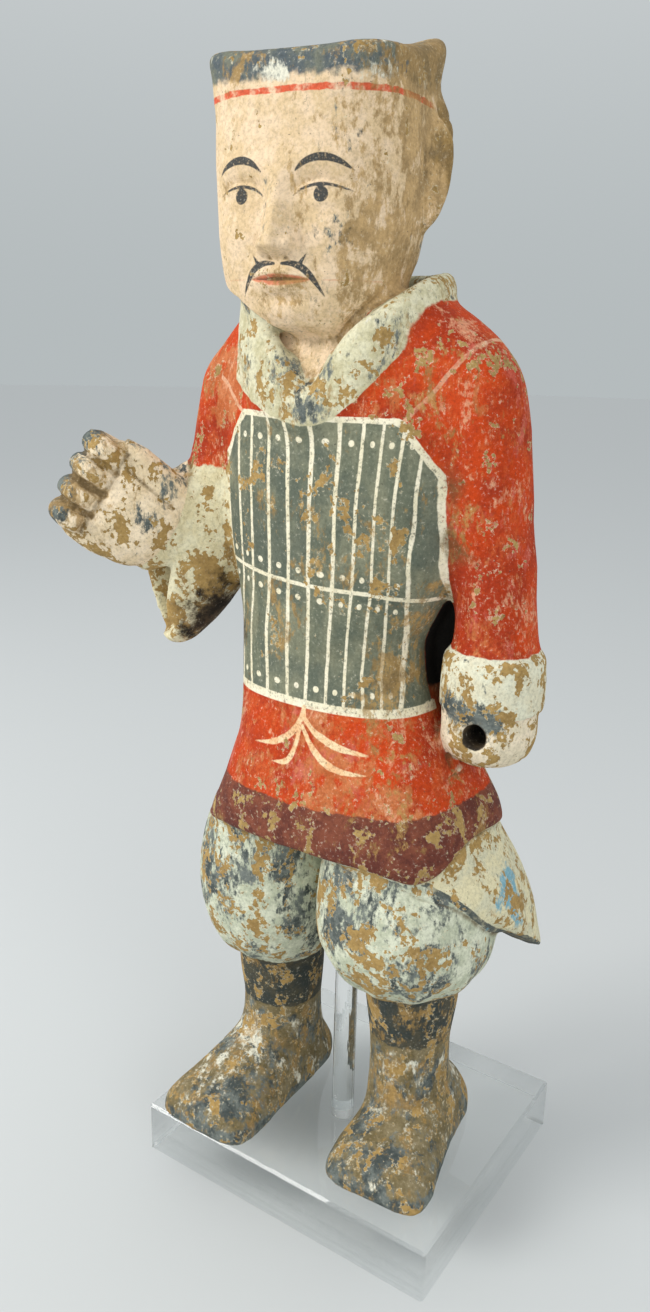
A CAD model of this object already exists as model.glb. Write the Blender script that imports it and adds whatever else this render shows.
"""The looks of a painted terracotta foot soldier on its clear display foot.

The soldier is one piece of fired clay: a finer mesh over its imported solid, with the carving worked in
code and the old paint mixed in one node material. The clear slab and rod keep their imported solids.
In the soldier's sections lengths are millimetres: x and y as in the model, z counted from the soles.
"""

import math

import bpy
import numpy as np
from mathutils import Matrix, Vector, noise


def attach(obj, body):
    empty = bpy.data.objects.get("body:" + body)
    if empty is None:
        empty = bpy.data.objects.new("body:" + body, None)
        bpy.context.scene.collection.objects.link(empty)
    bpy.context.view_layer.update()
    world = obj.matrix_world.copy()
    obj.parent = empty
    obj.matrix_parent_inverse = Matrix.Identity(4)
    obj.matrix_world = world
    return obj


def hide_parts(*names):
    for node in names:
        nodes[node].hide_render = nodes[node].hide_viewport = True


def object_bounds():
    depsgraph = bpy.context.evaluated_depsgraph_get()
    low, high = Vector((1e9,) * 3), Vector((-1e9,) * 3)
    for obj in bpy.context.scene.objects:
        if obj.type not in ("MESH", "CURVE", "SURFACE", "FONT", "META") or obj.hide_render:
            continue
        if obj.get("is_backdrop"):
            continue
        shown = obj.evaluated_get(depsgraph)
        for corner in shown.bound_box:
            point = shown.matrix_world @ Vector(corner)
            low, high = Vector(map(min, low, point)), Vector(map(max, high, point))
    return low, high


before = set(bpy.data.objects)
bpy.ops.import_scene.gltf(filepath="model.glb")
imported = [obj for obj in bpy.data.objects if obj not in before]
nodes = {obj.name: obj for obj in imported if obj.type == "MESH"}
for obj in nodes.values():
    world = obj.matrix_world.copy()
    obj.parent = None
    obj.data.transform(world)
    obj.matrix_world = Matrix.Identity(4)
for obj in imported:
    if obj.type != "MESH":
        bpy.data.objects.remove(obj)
cad_box = [list(corner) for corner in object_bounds()]
scene = bpy.context.scene

# The studio: a pale floor that runs to the horizon, a big soft light high in front on the figure's
# right, a weaker one on its left, and a grey room that gets lighter upwards.
FLOOR_RADIUS = 8.0
FLOOR_COLOUR = (0.57, 0.59, 0.595)
HORIZON_COLOUR = (0.462, 0.50, 0.51)
CEILING_COLOUR = (0.92, 0.94, 0.95)
# A row is the light's name, place, size in metres, power in watts and colour.
LIGHTS = [
    ("key_light", (-1.0, -1.1, 1.0), 0.8, 20.5, (1.0, 0.985, 0.95)),
    ("fill_light", (1.35, -0.75, 0.7), 0.9, 7.5, (1.0, 0.99, 0.97)),
]
CAMERA_PLACE = (0.2327, -0.3833, 0.3961)
CAMERA_TURNS = (33.73, 73.06, 1.304)
CAMERA_LENS = 28.77
LIT_POINT = (0, 0, 0.25)

bpy.ops.object.select_all(action="DESELECT")
camera_data = bpy.data.cameras.new("camera")
camera_data.sensor_fit = "VERTICAL"
camera_data.sensor_height = 36.0
camera_data.lens = CAMERA_LENS
camera_data.clip_start = 0.01
camera = bpy.data.objects.new("camera", camera_data)
scene.collection.objects.link(camera)
around, down, roll = (math.radians(turn) for turn in CAMERA_TURNS)
aim = Matrix.Rotation(around, 4, "Z") @ Matrix.Rotation(down, 4, "X") @ Matrix.Rotation(roll, 4, "Z")
camera.matrix_world = Matrix.Translation(CAMERA_PLACE) @ aim
scene.camera = camera

for name, place, size, power, colour in LIGHTS:
    light_data = bpy.data.lights.new(name, "AREA")
    light_data.size = size
    light_data.energy = power
    light_data.color = colour
    light = bpy.data.objects.new(name, light_data)
    light.location = place
    light.rotation_euler = (Vector(LIT_POINT) - Vector(place)).to_track_quat("-Z", "Y").to_euler()
    scene.collection.objects.link(light)


def add(tree, kind, *values, out=0, **settings):
    """A shader node, its inputs given in order. Returns one of its outputs."""
    made = tree.nodes.new("ShaderNode" + kind)
    for setting, value in settings.items():
        setattr(made, setting, value)
    for socket, value in zip([s for s in made.inputs if s.enabled], values):
        if isinstance(value, bpy.types.NodeSocket):
            tree.links.new(value, socket)
        elif value is not None:
            socket.default_value = value
    return made.outputs[out]


def sum_of(tree, operation, *values):
    """A Math node."""
    return add(tree, "Math", *values, operation=operation)


def span(tree, value, low, high, to_low=0.0, to_high=1.0):
    """A value mapped smoothly from one range to another, and held at its ends."""
    return add(tree, "MapRange", value, low, high, to_low, to_high, interpolation_type="SMOOTHSTEP")


world = bpy.data.worlds.new("studio_room")
world.use_nodes = True
tree = world.node_tree
upward = span(tree, add(tree, "SeparateXYZ", add(tree, "TexCoord"), out=2), -0.02, 1.0)
room = add(tree, "Mix", upward, (*HORIZON_COLOUR, 1), (*CEILING_COLOUR, 1), data_type="RGBA", out=2)
tree.links.new(room, tree.nodes["Background"].inputs["Color"])
scene.world = world
scene.view_settings.view_transform = "Standard"

bpy.ops.mesh.primitive_circle_add(vertices=96, radius=FLOOR_RADIUS, fill_type="NGON", location=(0, 0, 0))
floor = bpy.context.object
floor.name = "floor"
paper = bpy.data.materials.new("pale_floor")
paper.use_nodes = True
surface = paper.node_tree.nodes["Principled BSDF"].inputs
surface["Base Color"].default_value = (*FLOOR_COLOUR, 1.0)
surface["Roughness"].default_value = 0.9
surface["Specular IOR Level"].default_value = 0.0
floor.data.materials.append(paper)
floor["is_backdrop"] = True

# The display foot: a thick slab and a round rod of clear cast acrylic. The faces are flame-polished,
# the sawn edges keep a faint haze, and there are fine hairline scratches on the top.
ACRYLIC_IOR = 1.49
POLISHED, HAZY = 0.015, 0.07
THICK_TINT, THIN_TINT = (0.965, 0.985, 0.98, 1), (0.995, 1.0, 0.998, 1)
PASSED_TINT = (0.985, 0.99, 0.988, 1)
SCRATCH_STRETCH = (30, 900, 900)

acrylic = bpy.data.materials.new("clear_acrylic")
acrylic.use_nodes = True
tree = acrylic.node_tree
shader = tree.nodes["Principled BSDF"]
shader.inputs["Transmission Weight"].default_value = 1.0
shader.inputs["Metallic"].default_value = 0.0
shader.inputs["IOR"].default_value = ACRYLIC_IOR
where = add(tree, "TexCoord", out=3)
haze = add(tree, "TexNoise", where, 45.0, 3.0, 0.6)
along_scratches = add(tree, "Mapping", where, (0, 0, 0), (0, 0, 0.5), SCRATCH_STRETCH)
hairline = add(tree, "TexNoise", along_scratches, 1.0, 2.0)
tint = add(tree, "Mix", haze, THICK_TINT, THIN_TINT, data_type="RGBA", out=2)
tree.links.new(tint, shader.inputs["Base Color"])
tree.links.new(span(tree, haze, 0.35, 0.75, POLISHED, HAZY), shader.inputs["Roughness"])
dents = add(tree, "Bump", 0.04, 0.0002, 0.1, span(tree, hairline, 0.66, 0.72))
tree.links.new(dents, shader.inputs["Normal"])
# Shadow and diffuse rays go straight through, so that the floor under the slab stays light.
passing = sum_of(tree, "MAXIMUM", add(tree, "LightPath", out=1), add(tree, "LightPath", out=2))
clear = add(tree, "BsdfTransparent", PASSED_TINT)
mixed = add(tree, "MixShader", passing, shader.outputs[0], clear)
tree.links.new(mixed, tree.nodes["Material Output"].inputs["Surface"])
for node_name in ("display_slab", "support_rod"):
    nodes[node_name].data.materials.clear()
    nodes[node_name].data.materials.append(acrylic)

# The soldier: one hollow piece of fired clay, press-moulded in parts that were luted together and
# smoothed by hand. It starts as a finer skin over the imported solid, whose facets are worked out.
SOLE_HEIGHT = 27.3
SKIN_VOXEL = 1.35
BROAD_ROUNDS = 46
FINE_ROUNDS = 5
ELBOW = (-68.0, -14.0)
FOREARM_WAY = (-0.7218, -0.6921)
HAND_MIDDLE = (-98.4, -50.1, 297.0)
HAND_RISE = 32.0
HEAD_MIDDLE = (-16.5, -19.0)
HEAD_TURN = 8.0
COLLAR_MIDDLE = (-9.5, -10.5)
# The fist's middle is seen from above; the bore's is across and up, and it runs from front to back.
FIST_MIDDLE = (64.5, -9.0)
BORE = (66.5, 218.0)
BORE_RADIUS = 4.75
SOCKET_MIDDLE = (0.0, -9.5)
SOCKET_RADIUS = 6.3
SOCKET_TOP = 134
BETWEEN_LEGS = -5.5
# A row of the collar is the way from its middle, in degrees from the front towards the left, then how
# far out its outer face is, and the heights of its upper and lower edge.
COLLAR_ROWS = np.array([
    (-180, 43, 395, 379), (-140, 43, 395, 379), (-105, 43.5, 394, 372), (-80, 44, 390, 361),
    (-60, 43.5, 386, 352), (-35, 40.5, 379, 344), (-15, 38.5, 367, 339), (5, 38, 351, 336),
    (14, 38, 352, 336.5), (26, 39.5, 366, 339), (39, 42, 375, 347), (52, 44, 381, 357.5),
    (66, 45, 387, 369), (88, 44.5, 393, 379), (120, 43.5, 395, 381), (150, 43, 395, 380),
    (180, 43, 395, 379),
])

soldier = bpy.data.objects.new("soldier", nodes["warrior"].data.copy())
scene.collection.objects.link(soldier)
bpy.context.view_layer.objects.active = soldier
soldier.select_set(True)
bpy.ops.object.mode_set(mode="EDIT")
bpy.ops.mesh.select_all(action="SELECT")
bpy.ops.mesh.remove_doubles(threshold=1e-6)
bpy.ops.object.mode_set(mode="OBJECT")
skin = soldier.modifiers.new("finer skin", "REMESH")
skin.mode = "VOXEL"
skin.voxel_size = SKIN_VOXEL / 1000
bpy.ops.object.modifier_apply(modifier=skin.name)


def read_points(mesh):
    """A mesh's points in millimetres, with z from the soles."""
    flat = np.empty(len(mesh.vertices) * 3, np.float32)
    mesh.vertices.foreach_get("co", flat)
    return flat.reshape(-1, 3).astype(float) * 1000 - (0, 0, SOLE_HEIGHT)


def write_points(mesh, points):
    """Puts points in millimetres back into the mesh."""
    flat = ((points + (0, 0, SOLE_HEIGHT)) / 1000).astype(np.float32)
    mesh.vertices.foreach_set("co", flat.ravel())
    mesh.update()


def read_edges(mesh):
    """The two ends of every edge."""
    flat = np.empty(len(mesh.edges) * 2, np.int32)
    mesh.edges.foreach_get("vertices", flat)
    return flat.reshape(-1, 2)


def read_normals(mesh):
    """Every point's normal."""
    flat = np.empty(len(mesh.vertices) * 3, np.float32)
    mesh.vertex_normals.foreach_get("vector", flat)
    return flat.reshape(-1, 3).astype(float)


def relax(values, edges, share, rounds):
    """Moves each row towards the mean of its neighbours, by its own share, this many times."""
    a, b = edges[:, 0], edges[:, 1]
    count = len(values)
    degree = np.maximum(np.bincount(a, minlength=count) + np.bincount(b, minlength=count), 1)
    values = values.copy()
    for _ in range(rounds):
        for k in range(values.shape[1]):
            total = np.bincount(a, values[b, k], count) + np.bincount(b, values[a, k], count)
            values[:, k] += share * (total / degree - values[:, k])
    return values


def rise(value, low, high):
    """0 below low, 1 above high, smooth between."""
    t = np.clip((value - low) / (high - low), 0, 1)
    return t * t * (3 - 2 * t)


def bell(value, middle, spread):
    """A smooth hump of height 1."""
    return np.exp(-(((value - middle) / spread) ** 2))


def along_forearm(p):
    """How far out from the elbow a point is."""
    return (p[:, 0] - ELBOW[0]) * FOREARM_WAY[0] + (p[:, 1] - ELBOW[1]) * FOREARM_WAY[1]


def by_the_head(p):
    """How far to the head's left and in front of its middle a point is, as the head is turned."""
    c, s = math.cos(math.radians(HEAD_TURN)), math.sin(math.radians(HEAD_TURN))
    x, y = p[:, 0] - HEAD_MIDDLE[0], p[:, 1] - HEAD_MIDDLE[1]
    return x * c + y * s, x * s - y * c


def hem_height(p):
    """The height of the tunic's lower edge, which dips at the right side and lifts at the left."""
    return 159 + 0.15 * p[:, 0] * np.clip(1 - ((p[:, 1] + 9) / 47) ** 2, 0, 1)


def hem_droop(p):
    """How much lower the tunic's edge hangs at its front left corner."""
    return 7.5 * np.exp(-(((p[:, 0] - 54) / 15) ** 2 + ((p[:, 1] + 41) / 14) ** 2))


def above_robe_hem(p):
    """How far a point is above the slanting lower edge of the robe."""
    return (p[:, 2] - (130 - 0.10 * p[:, 0] - 0.75 * p[:, 1])) / 1.25


def above_robe_front(p):
    """The same for the robe's front edge at the left, which sags over the trousers."""
    return above_robe_hem(p) + 4.5 * rise(p[:, 0], 48, 62) * bell(p[:, 1], -14, 20)


def by_the_collar(p):
    """How far out from the collar's middle a point is, and the collar's face, top and foot there."""
    dx, dy = p[:, 0] - COLLAR_MIDDLE[0], p[:, 1] - COLLAR_MIDDLE[1]
    way = np.degrees(np.arctan2(dx, -dy))
    return np.hypot(dx, dy), *(np.interp(way, COLLAR_ROWS[:, 0], COLLAR_ROWS[:, k]) for k in (1, 2, 3))


def by_the_hand(p):
    """How far a point is towards the raised hand's knuckles, towards its thumb and before its palm."""
    r = math.radians(HAND_RISE)
    d = p - HAND_MIDDLE
    level = d[:, 0] * FOREARM_WAY[0] + d[:, 1] * FOREARM_WAY[1]
    along = level * math.cos(r) + d[:, 2] * math.sin(r)
    across = d[:, 2] * math.cos(r) - level * math.sin(r)
    return along, across, -d[:, 0] * FOREARM_WAY[1] + d[:, 1] * FOREARM_WAY[0]


# Where the carving is fine, the skin is worked over lightly; elsewhere it is worked smooth.
mesh = soldier.data
points = read_points(mesh)
edges = read_edges(mesh)
x, y, z = points.T
side, front = by_the_head(points)
out = along_forearm(points)
ring, face, top, foot = by_the_collar(points)
along, across, inward = by_the_hand(points)
fingers = (np.hypot(along, across) < 36) & (along > 2) & (x < -80)
fine = (out > 20) & (x < -62) & (z > 225) & (z < 345)
fine |= (np.abs(side) > 35) & (np.abs(side) < 52) & (z > 400) & (z < 449) & (front > -30)
fine |= (z > foot - 5) & (z < top + 6) & (ring > face - 20) & (ring < face + 5)
fine |= (x > 43) & (z > 196) & (z < 253) & (np.abs(y + 8) < 26)
fine |= np.abs(z - hem_height(points)) < 4
fine |= (np.abs(x - BETWEEN_LEGS) < 5) & (z > 70) & (z < 160)
fine |= z < 12
fine |= (x > 46) & (np.abs(above_robe_front(points)) < 4) & (z < 160)
fine |= np.hypot(x - BORE[0], z - BORE[1]) < 9
share = relax((0.72 * fine + 0.28 * fingers)[:, None], edges, 0.5, 4)[:, 0]
points = relax(points, edges, 0.5, FINE_ROUNDS)
points = relax(points, edges, 0.5 * (1 - rise(share, 0.1, 1.0)), BROAD_ROUNDS)
write_points(mesh, points)

# The cloth and the fingers: shallow folds, gathers and grooves, pressed in with a wooden tool.
normals = read_normals(mesh)
x, y, z = points.T
side, front = by_the_head(points)
push = np.zeros(len(points))
around_body = np.arctan2(x, -(y + 10))
skirt = rise(z, 162, 168) * (1 - rise(z, 196, 228))
in_fist = np.hypot(x - FIST_MIDDLE[0], y - FIST_MIDDLE[1]) < 25
on_body = ~in_fist | (z < 196)
push += 0.9 * skirt * on_body * np.sin(7 * around_body + 0.9) * (1 - bell(around_body, 0, 0.5) * 0.6)
for middle, top, count in ((-41.0, 101.0, 11), (34.5, 112.0, 12)):
    around_leg = np.arctan2(x - middle, -(y + 10))
    near = (np.abs(x - middle) < 40) & (z > top - 26) & (above_robe_hem(points) < -6)
    push += 0.55 * near * bell(z, top - 12, 9) * np.sin(count * around_leg + np.sin(3 * around_leg))
    push -= 0.8 * near * bell(z, top - 22 + 2 * np.sin(2 * around_leg), 1.6)
sleeve = (x > 38) & (z > 250) & (z < 350)
push += 0.7 * sleeve * bell(z, 290, 26) * np.sin((z + 0.5 * x + 0.3 * y) / 4.2) * rise(-y, -14, 8)
push += 0.8 * ((x < -52) & (z > 284)) * bell(z, 306, 14) * np.sin((z - 0.6 * x) / 3.6) * rise(y, -18, 4)
fist = in_fist & (z < 226) & (z > 198) & ((x > 50) | (z > 204))
for groove in (-17.5, -8.5, 0.5):
    push -= 1.0 * fist * bell(y, groove, 1.3) * rise(-z, -218, -210)
push += 0.9 * in_fist * (x > 46) * rise(z, 225.6, 226.6) * (1 - rise(z, 246, 250.5)) * (z < 252)
along, across, inward = by_the_hand(points)
in_hand = (np.hypot(along, across) < 38) & (x < -72) & (z > 262)
for groove in (11.0, 0.0, -10.8):
    push -= 2.0 * in_hand * bell(across, groove, 1.5) * rise(along, 6, 10)
push -= 1.3 * in_hand * bell(along, 9.5, 1.4) * rise(inward, 3, 7) * (np.abs(across) < 21)
by_the_thumb = (along < 8) & (along > -20)
push -= 1.1 * in_hand * bell(across, 13.5 + 0.16 * along, 1.5) * rise(inward, 2, 6) * by_the_thumb
push -= 0.9 * in_hand * bell(along, -24 + 0.01 * across**2, 1.8)
ear = rise(np.abs(side), 39, 42) * (z > 408) * (z < 450)
push -= 2.0 * ear * bell(front, -5.0, 3.5) * bell(z, 431, 9)
push -= 1.1 * ear * bell(front, 0.5 + 0.10 * (z - 430), 1.6) * bell(z, 428, 14)
hair = (front < -16) & (z > 396) & (z < 455)
push += 0.45 * hair * np.sin(side * 1.35 + 0.5 * np.sin(z / 9)) * (1 - rise(np.abs(side), 30, 38))
push -= 0.9 * hair * bell(z, 418 + 0.02 * side**2, 1.8)
robe_front = rise(above_robe_front(points), -1.0, 0.6) * rise(x, 44, 54) * (z < hem_height(points) - 1)
push += 1.7 * robe_front * rise(-y, -18, 2)
points += normals * push[:, None]
points[:, 2] -= hem_droop(points) * bell(points[:, 2], 162, 15)

# The flat-topped cap: its corners are drawn up and out, and its sides are a little hollow.
corner = rise(np.abs(side), 14, 42) * rise(np.abs(front + 1), 10, 38)
lifted = rise(z, 452, 470)
front_left = rise(side, 0, 20) * rise(front, 0, 20)
points[:, 2] += (3.2 - 2.6 * front_left) * corner * lifted - 1.3 * (1 - corner) * rise(z, 464, 472)
outward = np.stack([x - HEAD_MIDDLE[0], y - HEAD_MIDDLE[1]], 1)
outward /= np.maximum(np.linalg.norm(outward, axis=1), 1)[:, None]
points[:, :2] += outward * (1.6 * corner * lifted - 0.7 * bell(z, 460, 6))[:, None]
write_points(mesh, points)

# The skin is thinned where it is plain, and doubled on the face, so that the painted lines are crisp.
x, y, z = points.T
side, front = by_the_head(points)
plain = soldier.vertex_groups.new(name="plain")
rough_share = relax(fine[:, None].astype(float), edges, 0.5, 6)[:, 0]
on_face = (np.abs(side) < 38) & (z > 366) & (z < 456) & (front > 2)
keep = (rough_share > 0.25) | on_face | ((z > 190) & (z < 222) & (y < -38) & (np.abs(x) < 34))
plain.add(np.nonzero(~keep)[0].tolist(), 1.0, "REPLACE")
thin = soldier.modifiers.new("thinned", "DECIMATE")
thin.ratio = 0.42
thin.vertex_group = plain.name
thin.vertex_group_factor = 10.0
bpy.ops.object.modifier_apply(modifier=thin.name)
points = read_points(mesh)
x, y, z = points.T
side, front = by_the_head(points)
on_face = (np.abs(side) < 36) & (z > 368) & (z < 455) & (front > 4)
on_bow = (z > 190) & (z < 221) & (y < -38) & (np.abs(x) < 32)
mesh.vertices.foreach_set("select", on_face | on_bow)
bpy.ops.object.mode_set(mode="EDIT")
bpy.ops.mesh.select_mode(type="VERT")
bpy.ops.mesh.subdivide(number_cuts=1, smoothness=0)
bpy.ops.object.mode_set(mode="OBJECT")

# The face: a plain, calm one on the usual thirds, modelled in low relief over the broad head.
FACE_BROW, FACE_NOSE, FACE_MOUTH, FACE_CHIN = 426.0, 398.0, 388.7, 371.0
EYE_HEIGHT, EYE_OUT = 417.5, 16.2
# A row of the head is height, half width, how far forward its middle is, and its half depth.
HEAD_ROWS = np.array([
    (366, 22, 2, 20), (371, 27, 3, 25), (377, 31, 3, 28), (386, 35.5, 2, 32), (399, 38.5, 0.5, 35),
    (415, 40, -0.5, 36.5), (434, 41, -1, 37), (449, 40.5, -1, 36.5), (460, 40, -1, 36),
])
# A row of the nose is height, how far it stands out and its half width.
NOSE_ROWS = np.array([
    (392, 0.0, 6.5), (395.5, 0.6, 6.4), (397.5, 4.6, 6.2), (400, 7.8, 6.1), (403, 8.2, 5.7),
    (408, 6.8, 5.2), (415, 4.3, 4.8), (421, 2.4, 5.0), (427, 1.1, 6.0), (435, 0.0, 8.0),
])


def face_depth(side, z):
    """How far in front of the head's middle the face is."""
    a = np.abs(side)
    half_width, forward, depth = (
        sum(np.interp(z + step, HEAD_ROWS[:, 0], HEAD_ROWS[:, k]) for step in range(-8, 9, 2)) / 9
        for k in (1, 2, 3)
    )
    f = forward + depth * np.clip(1 - np.clip(a / half_width, 0, 1) ** 2.5, 0, 1) ** 0.4
    brow = FACE_BROW + 1.5 - 0.012 * (a - 14) ** 2
    f += 1.3 * bell(z, brow, 4.2) * (1 - rise(a, 24, 31)) * (0.5 + 0.5 * rise(a, 1, 9))
    f -= 2.9 * bell(a, EYE_OUT - 1.5, 9.5) * bell(z, EYE_HEIGHT + 1, 6.8)
    f += 2.7 * bell(a, EYE_OUT, 8.2) * bell(z, EYE_HEIGHT, 4.6)
    upper_lid = EYE_HEIGHT + 3.0 - 0.030 * (a - EYE_OUT) ** 2
    lower_lid = EYE_HEIGHT - 3.2 + 0.026 * (a - EYE_OUT) ** 2
    eye = 1 - rise(np.abs(a - EYE_OUT), 7.5, 10.5)
    f += 0.75 * eye * bell(z, upper_lid, 0.95) - 0.55 * eye * bell(z, upper_lid + 2.4, 1.0)
    f += 0.40 * eye * bell(z, lower_lid, 0.9)
    height, half = (np.interp(z, NOSE_ROWS[:, 0], NOSE_ROWS[:, k]) for k in (1, 2))
    f += height * bell(side, 0, half)
    f += 3.4 * bell(a, 6.3, 2.3) * bell(z, FACE_NOSE + 2.4, 2.9)
    f -= 1.5 * bell(a, 8.9, 1.3) * bell(z, FACE_NOSE + 3.5, 3.2)
    f -= 1.6 * bell(a, 3.3, 1.5) * bell(z, FACE_NOSE - 1.6, 1.1)
    f += 1.7 * bell(side, 0, 15) * bell(z, FACE_MOUTH, 9.0)
    f -= 0.5 * bell(side, 0, 1.6) * rise(z, 391.5, 393.5) * (1 - rise(z, 395, 397))
    full = np.clip(1 - (a / 12.5) ** 2, 0, 1)
    f += 1.5 * full * bell(z, FACE_MOUTH + 0.3 + 2.2 * full, 0.9 + 1.1 * full)
    f += 1.8 * full * bell(z, FACE_MOUTH + 0.2 - 2.9 * full, 1.0 + 1.3 * full)
    f -= 1.3 * bell(z, FACE_MOUTH, 0.75) * (1 - rise(a, 9.5, 13.0))
    f -= 1.0 * bell(z, FACE_MOUTH - 6.8, 2.2) * bell(side, 0, 9)
    f += 1.9 * bell(z, FACE_CHIN + 4.5, 5.0) * bell(side, 0, 12)
    f += 1.3 * bell(a, 22, 8) * bell(z, 405, 8)
    f -= 0.5 * bell(a, 13.5 + 0.25 * (FACE_NOSE - z), 1.6) * rise(z, 386, 390) * (1 - rise(z, 398, 402))
    return f


points = read_points(mesh)
edges = read_edges(mesh)
x, y, z = points.T
side, front = by_the_head(points)
top = by_the_collar(points)[2]
taken = (1 - rise(np.abs(side), 30, 36.5)) * rise(z, 367, 373) * (1 - rise(z, 446, 455)) * rise(front, 4, 10)
away = face_depth(side, z) - front
taken *= (z > top + 3) * (1 - rise(np.abs(away), 9, 13))
moved = taken * away
c, s = math.cos(math.radians(HEAD_TURN)), math.sin(math.radians(HEAD_TURN))
points[:, 0] += moved * s
points[:, 1] -= moved * c
settle = 0.35 * (taken > 0.02)
points = relax(points, edges, settle, 2)
write_points(mesh, points)

# The clay is uneven from the hand and the tool: broad soft dents, and small ones over them.
normals = read_normals(mesh)
x, y, z = points.T
side, front = by_the_head(points)
calm = 1 - 0.6 * ((np.abs(side) < 36) & (z > 370) & (z < 450) & (front > 5))
in_socket = np.hypot(x - SOCKET_MIDDLE[0], y - SOCKET_MIDDLE[1]) < 9
uneven = np.array([
    0.42 * noise.noise(Vector(p) / 21) + 0.22 * noise.noise(Vector(p) / 7.5)
    for p in points.tolist()
])
points += normals * (uneven * calm * ~in_socket)[:, None]


def open_out(points, columns, middle, radius, reached):
    """Pushes the wall of a round hole out to its radius, where the smoothing left it narrower."""
    a, b = columns
    off_a, off_b = points[:, a] - middle[0], points[:, b] - middle[1]
    wall = np.hypot(off_a, off_b)
    more = ((wall < radius) & reached) * (radius / np.maximum(wall, 0.1) - 1)
    points[:, a] += more * off_a
    points[:, b] += more * off_b


open_out(points, (0, 1), SOCKET_MIDDLE, SOCKET_RADIUS, z < SOCKET_TOP)
open_out(points, (0, 2), BORE, BORE_RADIUS, np.abs(y + 10) < 30)
points[:, 2] = np.maximum(points[:, 2], 0.0)
write_points(mesh, points)
mesh.polygons.foreach_set("use_smooth", np.ones(len(mesh.polygons), bool))

# The paint is laid out in areas. For each, every point keeps how far inside the area's edge it is, in
# millimetres, so that the edges stay crisp. Fine even lines keep a signed distance from their middle.
# Of the two boots, the figure's right one comes first.
BOOT_TOPS = (79.0, 90.0)
BOOT_BAND_FEET = (50, 59.5)
CAP_EDGE = 456.0
PANEL_LOW, PANEL_HIGH, PANEL_RIGHT, PANEL_LEFT, PANEL_BACK = 221.8, 339.0, -51.5, 47.4, -12.5
BAND_TOP = ((-62, 181.0), (-34, 180.0), (-7, 179.0), (27, 181.4), (46, 182.2), (60, 185.0))
# A row of the armour's lines is the heights, then where each line is at them.
LINE_HEIGHTS = (221.4, 237.0, 250.0, 273.4, 336.4)
LINES = np.array([
    (-51.5, -52.0, -53.0, -51.5, -51.5), (-43.0, -43.5, -45.0, -40.2, -41.5),
    (-34.5, -36.5, -37.0, -33.4, -32.9), (-23.5, -25.0, -25.9, -22.7, -22.7),
    (-11.9, -13.3, -13.9, -11.9, -13.1), (-2.7, -3.4, -3.3, -2.9, -1.1),
    (7.1, 6.1, 6.3, 9.0, 11.0), (15.0, 13.6, 13.7, 16.9, 20.7), (23.3, 20.1, 20.4, 24.5, 27.8),
    (29.7, 26.7, 26.9, 30.6, 35.2), (34.7, 32.1, 32.2, 36.5, 41.3), (46.5, 42.0, 42.0, 47.0, 47.5),
])
SEAM = ((-46, 276.4), (-25, 273.9), (-2, 272.4), (23, 272.0), (40, 269.4))
# A row of a brush stroke is across, up and half its width there.
BOW = (
    ((-3.0, 221.0, 1.0), (-3.1, 216.5, 1.5)),
    ((-3.2, 217.5, 0.9), (-6.0, 211.0, 1.3), (-10.9, 205.9, 1.6), (-18.0, 202.2, 1.3), (-27.7, 200.4, 0.1)),
    ((-4.0, 212.0, 0.8), (-4.9, 204.3, 1.0), (-7.0, 198.5, 1.3), (-9.9, 195.4, 1.2), (-18.1, 194.1, 0.1)),
    ((-2.5, 216.5, 0.9), (3.0, 211.5, 1.3), (11.5, 207.9, 1.6), (20.0, 206.3, 1.3), (28.6, 205.8, 0.1)),
    ((-2.8, 213.0, 0.8), (2.5, 205.5, 1.2), (10.5, 199.4, 1.6), (19.0, 197.2, 1.2), (28.6, 198.0, 0.1)),
)
FACE_STROKES = (
    ((7.0, 425.0, 0.3), (11.0, 428.3, 1.2), (17.0, 429.6, 1.5), (23.0, 428.0, 1.0), (27.5, 424.8, 0.1)),
    ((6.2, 416.8, 0.2), (9.5, 419.4, 0.5), (16.2, 420.9, 0.6), (23.0, 419.6, 0.5), (27.5, 418.0, 0.1)),
    ((1.6, 394.0, 0.5), (6.0, 394.2, 1.1), (10.5, 392.2, 1.3), (14.0, 388.0, 1.0), (17.0, 382.5, 0.1)),
    ((8.5, 393.6, 0.9), (11.2, 397.4, 0.1)),
)


def stroke(right, up, line):
    """How far inside a tapering brush stroke a point is."""
    line = np.array(line)
    for _ in range(2):
        cut = np.stack([0.75 * line[:-1] + 0.25 * line[1:], 0.25 * line[:-1] + 0.75 * line[1:]], 1)
        line = np.vstack([line[:1], cut.reshape(-1, 3), line[-1:]])
    best = np.full(len(right), -9.0)
    for (ax, az, ar), (bx, bz, br) in zip(line, line[1:]):
        t = ((right - ax) * (bx - ax) + (up - az) * (bz - az)) / ((bx - ax) ** 2 + (bz - az) ** 2)
        t = np.clip(t, 0, 1)
        away = np.hypot(right - ax - t * (bx - ax), up - az - t * (bz - az))
        best = np.maximum(best, ar + t * (br - ar) - away)
    return best


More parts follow.
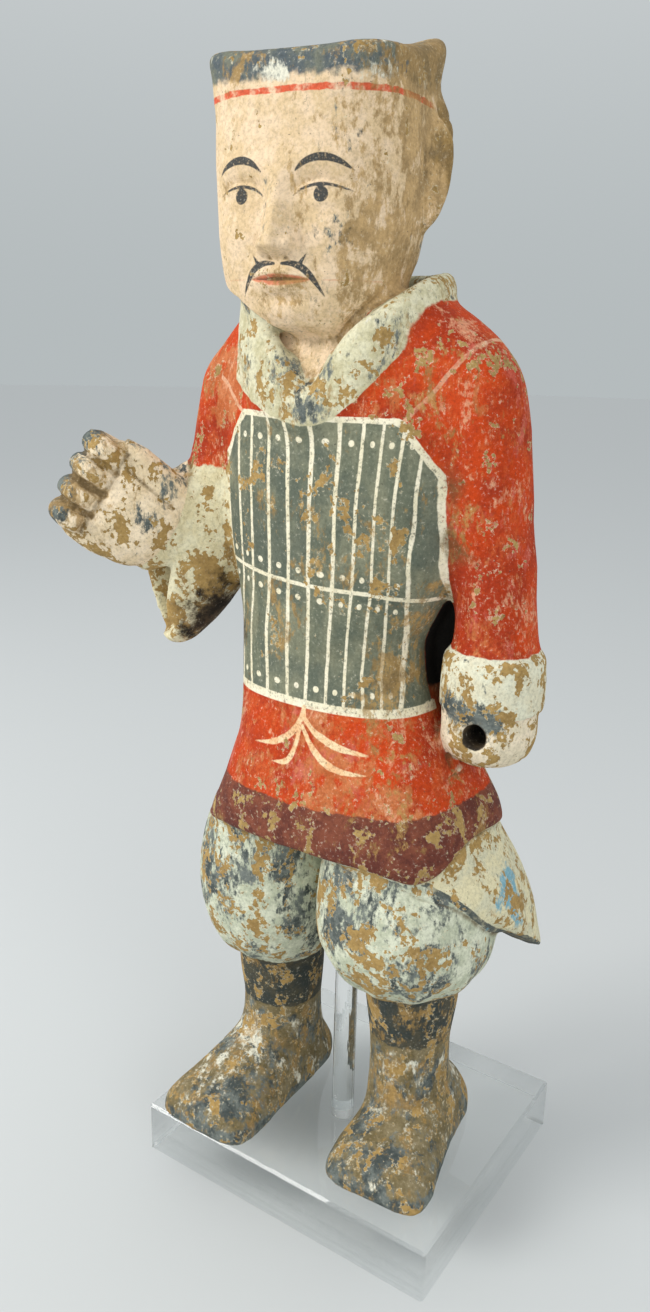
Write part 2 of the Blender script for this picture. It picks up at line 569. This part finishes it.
points = read_points(mesh)
normals = read_normals(mesh)
edges = read_edges(mesh)
x, y, z = points.T
side, front = by_the_head(points)
ring, face, top, foot = by_the_collar(points)
along, across, _ = by_the_hand(points)
by_fist = np.hypot(x - FIST_MIDDLE[0], y - FIST_MIDDLE[1])
hem = hem_height(points) - hem_droop(points)
left_leg = x > BETWEEN_LEGS
boots = np.where(left_leg, BOOT_TOPS[1], BOOT_TOPS[0]) - z
smallest = np.minimum.reduce
largest = np.maximum.reduce
panel = smallest([
    PANEL_HIGH - z, z - PANEL_LOW, x - PANEL_RIGHT, PANEL_LEFT - x, PANEL_BACK - y,
    0.806 * (x + 38.6) - 0.592 * (z - 339.2), -0.831 * (x - 34) - 0.557 * (z - 338.4),
])
counts = np.arange(-1, len(LINES) - 1)
line_count = sum(
    np.interp(x, LINES[:, k], counts) * np.interp(z, LINE_HEIGHTS, np.eye(len(LINE_HEIGHTS))[k])
    for k in range(len(LINE_HEIGHTS))
)
strap_left = ((x - 34.9) * 34.5 - (z - 339.9) * 25.1) / 42.66
strap_right = -((x + 38.9) * 11.6 + (z - 338.8) * 19.1) / 22.35
in_the_neck = smallest([face - 9 - ring, z - 330, largest([-12 - y, z - 378])])
head = largest([in_the_neck, z - top - 2])
full = np.clip(1 - (side / 12.5) ** 2, 0, 1)
pupil = 2.7 - np.hypot(np.abs(side) - EYE_OUT, z - EYE_HEIGHT + 0.3)
face_marks = [pupil, *(stroke(np.abs(side), z, line) for line in FACE_STROKES)]
areas = {
    "hem_band": smallest([z - hem + 2, np.interp(x, *zip(*BAND_TOP)) - z]),
    "armour": panel,
    "line_count": line_count,
    "edge_there": largest([20 - x, z - 268, 224.5 - z]),
    "from_seam": z - np.interp(x, *zip(*SEAM)),
    "strap": np.where(x > 0, strap_left, strap_right),
    "strap_there": largest([smallest([x - 28, 66 - x, z - 338.5, 6 - y]),
                            smallest([-36 - x, x + 60, z - 337, -20 - y])]),
    "bow": largest([stroke(x, z, line) for line in BOW]) - 9 * (y > -20),
    "gap": smallest([x - 31, 56 - x, y - PANEL_BACK, 6 - y, z - 229, 268 - z]),
    "sleeve": smallest([314 - z, -51.5 - x, z - 200]),
    "cuff": smallest([z - 226, 250.3 - z, 29 - by_fist, x - 43.5]),
    "trousers": hem - z,
    "robe": smallest([hem - z, above_robe_front(points)]),
    "robe_edge": above_robe_front(points) - 0.8,
    "robe_edge_there": smallest([x - 40, hem - 1 - z, 50 - y]),
    "boots": boots,
    "boot_band": smallest([boots, z - np.where(left_leg, BOOT_BAND_FEET[1], BOOT_BAND_FEET[0])]),
    "fist": smallest([226 - z, 25 - by_fist, 0.93 * (x - 47) + 0.37 * (z - 215), z - 194]),
    "hand": smallest([along + 24 - 0.01 * across**2, 40 - np.hypot(along, across), -64 - x]),
    "collar": smallest([z - foot + 0.5, top + 3 - z, ring - face + 9, face + 1.4 - ring]),
    "skin": head,
    "brow_side": smallest([head, front + 12]),
    "hair": smallest([head, -15 - front, CAP_EDGE - z]),
    "cap": smallest([head, z - CAP_EDGE]),
    "face_lines": largest(face_marks) - 9 * (front < 15),
    "lips": smallest([2.0 * full - np.abs(z - FACE_MOUTH + 0.2), front - 15]),
    "mouth": smallest([0.75 * (1 - np.abs(side) / 12) - np.abs(z - FACE_MOUTH), front - 15]),
}
middle = relax(points, edges, 0.5, 14)
areas["hollow"] = np.clip(np.einsum("ij,ij->i", middle - points, normals), -1.5, 1.5)

# How each area has aged: how much paint is lost, and how much slate paint, chalk and brown grime lie on
# it. The tunic's row goes first, on every point. Then come spots: kind, middle, reach and amount.
STATES = (
    ("tunic", 0.03, 0.0, 0.0, 0.46), ("hem_band", 0.16, 0.25, 0.0, 0.62),
    ("armour", 0.06, 0.2, 0.0, 0.60), ("sleeve", 0.52, 0.25, 0.2, 0.50),
    ("cuff", 0.45, 0.50, 0.2, 0.50), ("trousers", 0.16, 0.84, 0.36, 0.40),
    ("robe", 0.17, 0.50, 0.1, 0.55), ("boots", 0.24, 0.80, 0.68, 0.74),
    ("boot_band", 0.24, 0.0, 0.0, 0.72), ("fist", 0.40, 0.50, 0.1, 0.55),
    ("hand", 0.36, 0.40, 0.05, 0.62), ("collar", 0.34, 0.74, 0.35, 0.66),
    ("skin", 0.0, 0.42, 0.1, 0.62), ("hair", 0.20, 0.0, 0.0, 0.6), ("cap", 0.10, 0.0, 0.45, 0.78),
)
KINDS = ("wear", "slate", "chalk", "grime", "soot", "blue", "faded")
SPOTS = (
    ("slate", -81, -55, 292, 6, 0.9), ("slate", -92, -31, 253, 6, 0.7), ("slate", 22.9, 1.6, 437, 7, 1.0),
    ("slate", -116, -66, 300, 14, 0.5), ("slate", -72, -44, 305, 8, 0.6), ("slate", 58, -28, 228, 7, 1.0),
    ("slate", 71, -28, 227, 8, 1.0), ("slate", 34, -30, 50, 22, 0.25), ("slate", -41, -25, 45, 22, 0.25),
    ("slate", -55, -45, 130, 20, 0.35), ("slate", 14, -55, 138, 16, 0.35),
    ("slate", -3, -53, 338, 8, 0.5), ("slate", -35, -60, 4, 22, 0.4), ("slate", 40, -60, 4, 22, 0.4),
    ("soot", -60, -26, 242, 22, 1.4), ("soot", 24.6, -27.8, 458, 4, 0.9), ("soot", 18, 12, 384, 18, 0.6),
    ("soot", 46, -2, 224, 9, 1.0), ("soot", -40, -57, 2, 14, 0.5), ("soot", 38, -57, 2, 14, 0.5),
    ("blue", 74, -4, 141, 14, 1.6), ("blue", 71, 4, 129, 10, 1.2),
    ("wear", 30, -40, 352, 16, 0.2), ("wear", -20, -58, 165, 9, 0.25), ("wear", 57, -20, 172, 14, 0.3),
    ("wear", 8, -50, 292, 10, 0.25), ("grime", 35, -34, 232, 16, 0.3), ("wear", -46, -30, 300, 9, 0.3),
    ("wear", 33, -36, 240, 12, 0.3),
    ("grime", 44, -20, 345, 20, 0.25), ("grime", 38, -40, 200, 18, 0.3), ("grime", 33, -28, 238, 12, 0.35),
    ("chalk", 34, -50, 45, 20, 0.5), ("chalk", -41, -40, 40, 18, 0.45), ("chalk", 34, -35, 66, 14, 0.3),
    ("faded", -56, -25, 350, 26, 0.9), ("faded", 0, -45, 205, 40, 0.45), ("faded", 35, -40, 190, 30, 0.5),
    ("faded", 58, -34, 300, 16, 0.8), ("faded", 60, -36, 268, 16, 0.6), ("faded", 34, -42, 350, 14, 0.6),
)
states = np.zeros((len(points), len(KINDS)))
for name, *amounts in STATES:
    states[areas.get(name, z) > 0, :4] = amounts
for name, sx, sy, sz, reach, amount in SPOTS:
    states[:, KINDS.index(name)] += amount * bell(np.linalg.norm(points - (sx, sy, sz), axis=1), 0, reach)
skin_there = areas["skin"] > 0
hand_there = areas["hand"] > 0
by_the_hem = (z < hem) & (z > hem - 12)
in_bore = (np.hypot(x - BORE[0], z - BORE[1]) < BORE_RADIUS + 0.5) & (np.abs(y + 10) < 30)
wear, slate, chalk, grime, soot, _, faded = states.T
wear -= 0.28 * hand_there * rise(along, 14, 22)
wear += 0.35 * by_the_hem * bell(hem - z, 2, 5) - 0.3 * np.minimum(areas["hollow"], 0)
slate += 0.25 * skin_there * rise(side, 5, 20) * bell(z, 400, 22) + 0.6 * (z < 7)
slate += 0.85 * hand_there * rise(along, 15, 24) + 0.6 * hand_there * rise(across, 21, 27)
chalk += 0.6 * (z > 450) * bell(z, CAP_EDGE, 3.4)
grime += 0.42 * skin_there * rise(side, 16, 36) + 0.2 * skin_there * bell(z, 372, 12)
grime += 0.24 * skin_there * rise(side, 8, 42) * (1 - rise(z, 388, 420))
grime += 0.3 * (np.abs(side) > 39) * (z > 400) + 0.25 * hand_there * rise(along, 8, 14)
grime += 0.5 * np.maximum(areas["hollow"], 0)
soot += 2.0 * in_bore
faded += 0.42
states = relax(np.clip(states, 0, 1.6), edges, 0.5, 3)
areas.update(zip(KINDS, states.T))
for name, values in areas.items():
    layer = mesh.attributes.new(name, "FLOAT", "POINT")
    layer.data.foreach_set("value", values.astype(np.float32))


def new_group(name, *inputs, outputs=("Mask",)):
    """An empty shader group with these inputs and outputs. Returns it, what comes in and what goes out."""
    group = bpy.data.node_groups.new(name, "ShaderNodeTree")
    for socket, kind in inputs:
        group.interface.new_socket(socket, in_out="INPUT", socket_type="NodeSocket" + kind)
    for socket in outputs:
        group.interface.new_socket(socket, in_out="OUTPUT", socket_type="NodeSocketFloat")
    return group, group.nodes.new("NodeGroupInput").outputs, group.nodes.new("NodeGroupOutput").inputs


def use(tree, group, *values, out=0):
    """One use of a shader group."""
    made = tree.nodes.new("ShaderNodeGroup")
    made.node_tree = group
    for socket, value in zip(made.inputs, values):
        if isinstance(value, bpy.types.NodeSocket):
            tree.links.new(value, socket)
        else:
            socket.default_value = value
    return made.outputs[out]


# Where the paint has come off in flakes: the bare clay, and round it a rim of the pale ground coat.
losses, given, result = new_group(
    "paint losses", ("Place", "Vector"), ("Wear", "Float"), outputs=("Bare", "Rim"))
tall = add(losses, "Mapping", given["Place"], (0, 0, 0), (0, 0, 0), (1, 1, 0.72))
patch = add(losses, "TexNoise", tall, 105.0, 3.0, 0.55, 2.0, 0.4)
crumb = add(losses, "TexNoise", given["Place"], 420.0, 3.0, 0.6)
both = sum_of(losses, "MULTIPLY_ADD", patch, 0.62, sum_of(losses, "MULTIPLY", crumb, 0.38))
over = sum_of(losses, "SUBTRACT", both, sum_of(losses, "MULTIPLY_ADD", given["Wear"], -0.215, 0.635))
losses.links.new(span(losses, over, -0.006, 0.006), result["Bare"])
losses.links.new(span(losses, over, -0.030, -0.012), result["Rim"])

# Where a dry brush or a rubbed hand has left colour: a soft patch broken up by fine upright streaks.
smears, given, result = new_group("dry smears", ("Place", "Vector"), ("Amount", "Float"), ("Grain", "Float"))
patch = add(smears, "TexNoise", add(smears, "Mapping", given["Place"], (0, 0, 0), (0, 0.35, 0), (1, 1, 0.75)),
            62.0, 3.0, 0.6, 2.0, 0.8)
streak = add(smears, "TexNoise", add(smears, "Mapping", given["Place"], (0, 0, 0), (0, 0.35, 0), (1, 1, 0.5)),
             given["Grain"], 4.0, 0.75)
broken = sum_of(smears, "MULTIPLY_ADD", streak, 0.75, patch)
low = sum_of(smears, "MULTIPLY_ADD", given["Amount"], -0.42, 1.25)
smears.links.new(span(smears, sum_of(smears, "SUBTRACT", broken, low), -0.03, 0.12), result["Mask"])

painted = bpy.data.materials.new("painted_clay")
painted.use_nodes = True
tree = painted.node_tree
shader = tree.nodes["Principled BSDF"]
shader.inputs["Metallic"].default_value = 0.0
shader.inputs["Specular IOR Level"].default_value = 0.22
where = add(tree, "TexCoord", out=3)
height = sum_of(tree, "MULTIPLY_ADD", add(tree, "SeparateXYZ", where, out=2), 1000.0, -SOLE_HEIGHT)
kept = {name: add(tree, "Attribute", attribute_name=name, out=2) for name in areas}
broad = add(tree, "TexNoise", where, 30.0, 4.0, 0.62)
mottle = add(tree, "TexNoise", where, 120.0, 4.0, 0.65)
grain = add(tree, "TexNoise", where, 700.0, 4.0, 0.7)
wobble = sum_of(tree, "MULTIPLY_ADD", add(tree, "TexNoise", where, 210.0, 3.0, 0.6), 3.2, -1.6)


def inside(distance, loose=1.0, soft=0.3):
    """The mask of an area from its edge distance, with the unsteady edge of a brush."""
    return span(tree, sum_of(tree, "MULTIPLY_ADD", wobble, loose, distance), -soft, soft)


def line_at(distance, half, loose=0.15):
    """The mask of an even line from the signed distance to its middle."""
    return span(tree, sum_of(tree, "ABSOLUTE", sum_of(tree, "MULTIPLY_ADD", wobble, loose, distance)),
                half + 0.22, half - 0.22)


def both_of(a, b):
    """Where both masks are."""
    return sum_of(tree, "MULTIPLY", a, b)


def either(a, b):
    """Where one of the masks is."""
    return sum_of(tree, "MAXIMUM", a, b)


def coat(under, mask, *colours, by=mottle, low=0.38, high=0.62):
    """Lays one colour, or two that are mottled together, over what is there."""
    colour = (*colours[0], 1.0)
    if len(colours) == 2:
        other = (*colours[1], 1.0)
        colour = add(tree, "Mix", span(tree, by, low, high), colour, other, data_type="RGBA", out=2)
    return add(tree, "Mix", mask, under, colour, data_type="RGBA", out=2)


def smeared(shift, amount, fineness):
    """The mask of a smear, whose pattern is shifted so that no two smears fall alike."""
    return use(tree, smears, add(tree, "Mapping", where, shift), amount, fineness)


# The armour's white lines and rivets, and the other fine lines, in millimetres.
PLATE_WIDTH = 9.5
RIVETS_FROM_SEAM = 5.6
RIVET_HEIGHTS = (330.3, 229.2)
ARMOUR_FOOT = 222.2
HEADBAND_HEIGHT = 451.6
within = sum_of(tree, "FRACT", kept["line_count"])
from_line = sum_of(tree, "MULTIPLY", sum_of(tree, "PINGPONG", kept["line_count"], 0.5), PLATE_WIDTH)
from_rivet = sum_of(tree, "MULTIPLY", sum_of(tree, "SUBTRACT", within, 0.5), PLATE_WIDTH)
rows = [sum_of(tree, "SUBTRACT", sum_of(tree, "ABSOLUTE", kept["from_seam"]), RIVETS_FROM_SEAM)]
rows += [sum_of(tree, "SUBTRACT", height, rivet_height) for rivet_height in RIVET_HEIGHTS]
rivets = None
for row in rows:
    far = sum_of(tree, "SQRT", sum_of(tree, "ADD", both_of(row, row), both_of(from_rivet, from_rivet)))
    dot = span(tree, sum_of(tree, "MULTIPLY_ADD", wobble, 0.2, far), 1.45, 1.05)
    rivets = dot if rivets is None else either(rivets, dot)
on_armour = inside(kept["armour"], 0.3)
rivets = both_of(rivets, span(tree, kept["line_count"], 9.05, 8.95))
lines = either(either(line_at(from_line, 0.78, 0.22), line_at(kept["from_seam"], 0.85, 0.22)), rivets)
edge_line = both_of(line_at(kept["armour"], 1.15, 0.3), inside(kept["edge_there"], 0.0))
from_foot = sum_of(tree, "ABSOLUTE", sum_of(tree, "SUBTRACT", height, ARMOUR_FOOT))
foot_line = both_of(span(tree, from_foot, 2.0, 1.5), inside(sum_of(tree, "ADD", kept["armour"], 2.0), 0.2))
white = either(either(both_of(lines, on_armour), edge_line), foot_line)
upright = add(tree, "Mapping", where, (0, 0, 0), (0, 0, 0), (1, 1, 0.35))
streaky = add(tree, "TexNoise", upright, 120.0, 4.0, 0.6)

RED, DEEP_RED = (0.52, 0.052, 0.006), (0.34, 0.030, 0.005)
WHITE, CREAM = (0.80, 0.74, 0.57), (0.68, 0.67, 0.52)
colour = coat((*DEEP_RED, 1.0), span(tree, broad, 0.40, 0.60), RED)
rubbed = smeared((2.2, 3.3, 0.8), 0.75, 380.0)
colour = coat(colour, both_of(rubbed, span(tree, grain, 0.3, 0.7, 0.2, 0.7)), (0.54, 0.11, 0.028))
faded = smeared((6.2, 2.3, 5.8), kept["faded"], 260.0)
colour = coat(colour, sum_of(tree, "MULTIPLY", faded, 0.85), (0.54, 0.19, 0.07), (0.44, 0.12, 0.035))
pinkish = smeared((9.1, 4.4, 2.7), 0.66, 240.0)
colour = coat(colour, sum_of(tree, "MULTIPLY", pinkish, 0.75), (0.55, 0.125, 0.085), (0.46, 0.075, 0.045))
scuffed = smeared((5.1, 0.3, 7.8), 0.64, 620.0)
colour = coat(colour, sum_of(tree, "MULTIPLY", scuffed, 0.7), (0.70, 0.36, 0.21))
colour = coat(colour, inside(kept["hem_band"], 0.9, 0.5), (0.115, 0.030, 0.020), (0.20, 0.060, 0.034))
strap = both_of(line_at(kept["strap"], 0.8, 0.3), inside(kept["strap_there"], 0.0))
colour = coat(colour, both_of(strap, span(tree, mottle, 0.3, 0.5, 0.3, 1.0)), (0.66, 0.36, 0.22))
colour = coat(colour, on_armour, (0.135, 0.15, 0.105), (0.21, 0.215, 0.145), by=streaky)
colour = coat(colour, both_of(on_armour, span(tree, broad, 0.47, 0.62, 0.0, 0.65)), (0.085, 0.105, 0.085))
colour = coat(colour, both_of(white, span(tree, grain, 0.33, 0.45, 0.35, 1.0)), WHITE, (0.72, 0.66, 0.47))
colour = coat(colour, both_of(inside(kept["bow"], 0.3), span(tree, grain, 0.3, 0.5, 0.55, 1.0)),
              (0.80, 0.62, 0.38), (0.76, 0.46, 0.24))
colour = coat(colour, inside(kept["sleeve"], 1.8, 0.6), (0.70, 0.65, 0.45), (0.62, 0.55, 0.34))
colour = coat(colour, inside(kept["cuff"], 0.5), CREAM, (0.64, 0.60, 0.44))
colour = coat(colour, inside(kept["trousers"], 0.3), (0.63, 0.65, 0.51), (0.47, 0.50, 0.37))
colour = coat(colour, inside(kept["robe"], 0.3), (0.68, 0.62, 0.40), (0.58, 0.56, 0.40))
robe_edge = both_of(line_at(kept["robe_edge"], 1.3, 0.5), inside(kept["robe_edge_there"], 0.0))
colour = coat(colour, both_of(robe_edge, span(tree, mottle, 0.3, 0.5, 0.3, 0.95)), (0.06, 0.075, 0.075))
colour = coat(colour, inside(kept["boots"], 0.8), (0.155, 0.120, 0.055), (0.235, 0.190, 0.105))
colour = coat(colour, inside(kept["boot_band"], 1.4, 0.6), (0.038, 0.046, 0.042), (0.075, 0.07, 0.048))
colour = coat(colour, inside(kept["fist"], 0.4), (0.78, 0.67, 0.50), (0.66, 0.58, 0.42))
colour = coat(colour, inside(kept["hand"], 0.4), (0.82, 0.68, 0.49), (0.72, 0.58, 0.38))
colour = coat(colour, inside(kept["collar"], 0.5), (0.66, 0.63, 0.45), (0.52, 0.48, 0.30))
colour = coat(colour, inside(kept["skin"], 0.5), (0.76, 0.58, 0.39), (0.66, 0.49, 0.29))
colour = coat(colour, inside(kept["hair"], 1.0, 0.8), (0.075, 0.075, 0.06), (0.14, 0.125, 0.085))
colour = coat(colour, inside(kept["lips"], 0.3, 0.4), (0.62, 0.22, 0.12))
colour = coat(colour, inside(kept["mouth"], 0.1), (0.10, 0.035, 0.025))
headband = both_of(line_at(sum_of(tree, "SUBTRACT", height, HEADBAND_HEIGHT), 1.05, 0.5),
                   inside(kept["brow_side"], 0.3, 3.0))
colour = coat(colour, both_of(headband, span(tree, mottle, 0.34, 0.52, 0.1, 1.0)), (0.64, 0.11, 0.05))
face_lines = both_of(inside(kept["face_lines"], 0.12, 0.2), span(tree, grain, 0.32, 0.48, 0.35, 1.0))
colour = coat(colour, face_lines, (0.055, 0.055, 0.052))
colour = coat(colour, inside(kept["cap"], 2.4, 1.4), (0.085, 0.105, 0.115), (0.17, 0.18, 0.14))

# The age on it: smears, grime, bare clay and soot.
colour = coat(colour, use(tree, smears, where, kept["chalk"], 300.0), (0.70, 0.68, 0.56))
colour = coat(colour, smeared((3.1, 0.7, 1.9), kept["slate"], 380.0),
              (0.055, 0.068, 0.066), (0.16, 0.18, 0.165))
colour = coat(colour, smeared((0.4, 5.2, 2.3), kept["blue"], 220.0),
              (0.20, 0.38, 0.45))
dusty = smeared((7.4, 1.6, 4.4), kept["grime"], 420.0)
colour = coat(colour, sum_of(tree, "MULTIPLY", dusty, 0.75), (0.44, 0.27, 0.085), (0.27, 0.165, 0.055))
bare = use(tree, losses, where, kept["wear"])
rim = use(tree, losses, where, kept["wear"], out=1)
colour = coat(colour, both_of(rim, span(tree, grain, 0.40, 0.6, 0.0, 0.6)), (0.68, 0.60, 0.42))
colour = coat(colour, bare, (0.40, 0.26, 0.090), (0.32, 0.205, 0.072))
pits = span(tree, kept["hollow"], 0.12, 0.75, 0.0, 0.75)
colour = coat(colour, both_of(pits, span(tree, mottle, 0.3, 0.6, 0.3, 1.0)), (0.13, 0.085, 0.035))
uneven_soot = sum_of(tree, "MULTIPLY_ADD", grain, 0.7, kept["soot"])
uneven_soot = sum_of(tree, "MULTIPLY_ADD", mottle, 1.6, uneven_soot)
sooty = span(tree, uneven_soot, 1.55, 2.05)
colour = coat(colour, sooty, (0.075, 0.052, 0.028), (0.022, 0.017, 0.012))
specks = add(tree, "TexNoise", where, 1100.0, 2.0, 0.6)
colour = coat(colour, span(tree, specks, 0.68, 0.75, 0.0, 0.8), (0.05, 0.045, 0.04))
colour = coat(colour, span(tree, grain, 0.58, 0.72, 0.0, 0.35), (0.78, 0.72, 0.58))
colour = coat(colour, inside(kept["gap"], 0.6, 0.8), (0.012, 0.010, 0.008))
shade = span(tree, grain, 0.25, 0.60, 0.72, 1.06)
colour = add(tree, "VectorMath", colour, add(tree, "CombineXYZ", shade, shade, shade), operation="MULTIPLY")
tree.links.new(colour, shader.inputs["Base Color"])
tree.links.new(span(tree, mottle, 0.3, 0.7, 0.72, 0.92), shader.inputs["Roughness"])
layers = sum_of(tree, "MULTIPLY_ADD", bare, -1.0, sum_of(tree, "MULTIPLY", grain, 0.8))
layers = sum_of(tree, "MULTIPLY_ADD", mottle, 0.8, layers)
tree.links.new(add(tree, "Bump", 0.6, 0.0005, 0.1, layers), shader.inputs["Normal"])
soldier.data.materials.clear()
soldier.data.materials.append(painted)

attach(soldier, "root")
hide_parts("warrior")

# The visual model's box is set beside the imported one.
size = {"cad": cad_box, "visual": [list(corner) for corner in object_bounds()]}
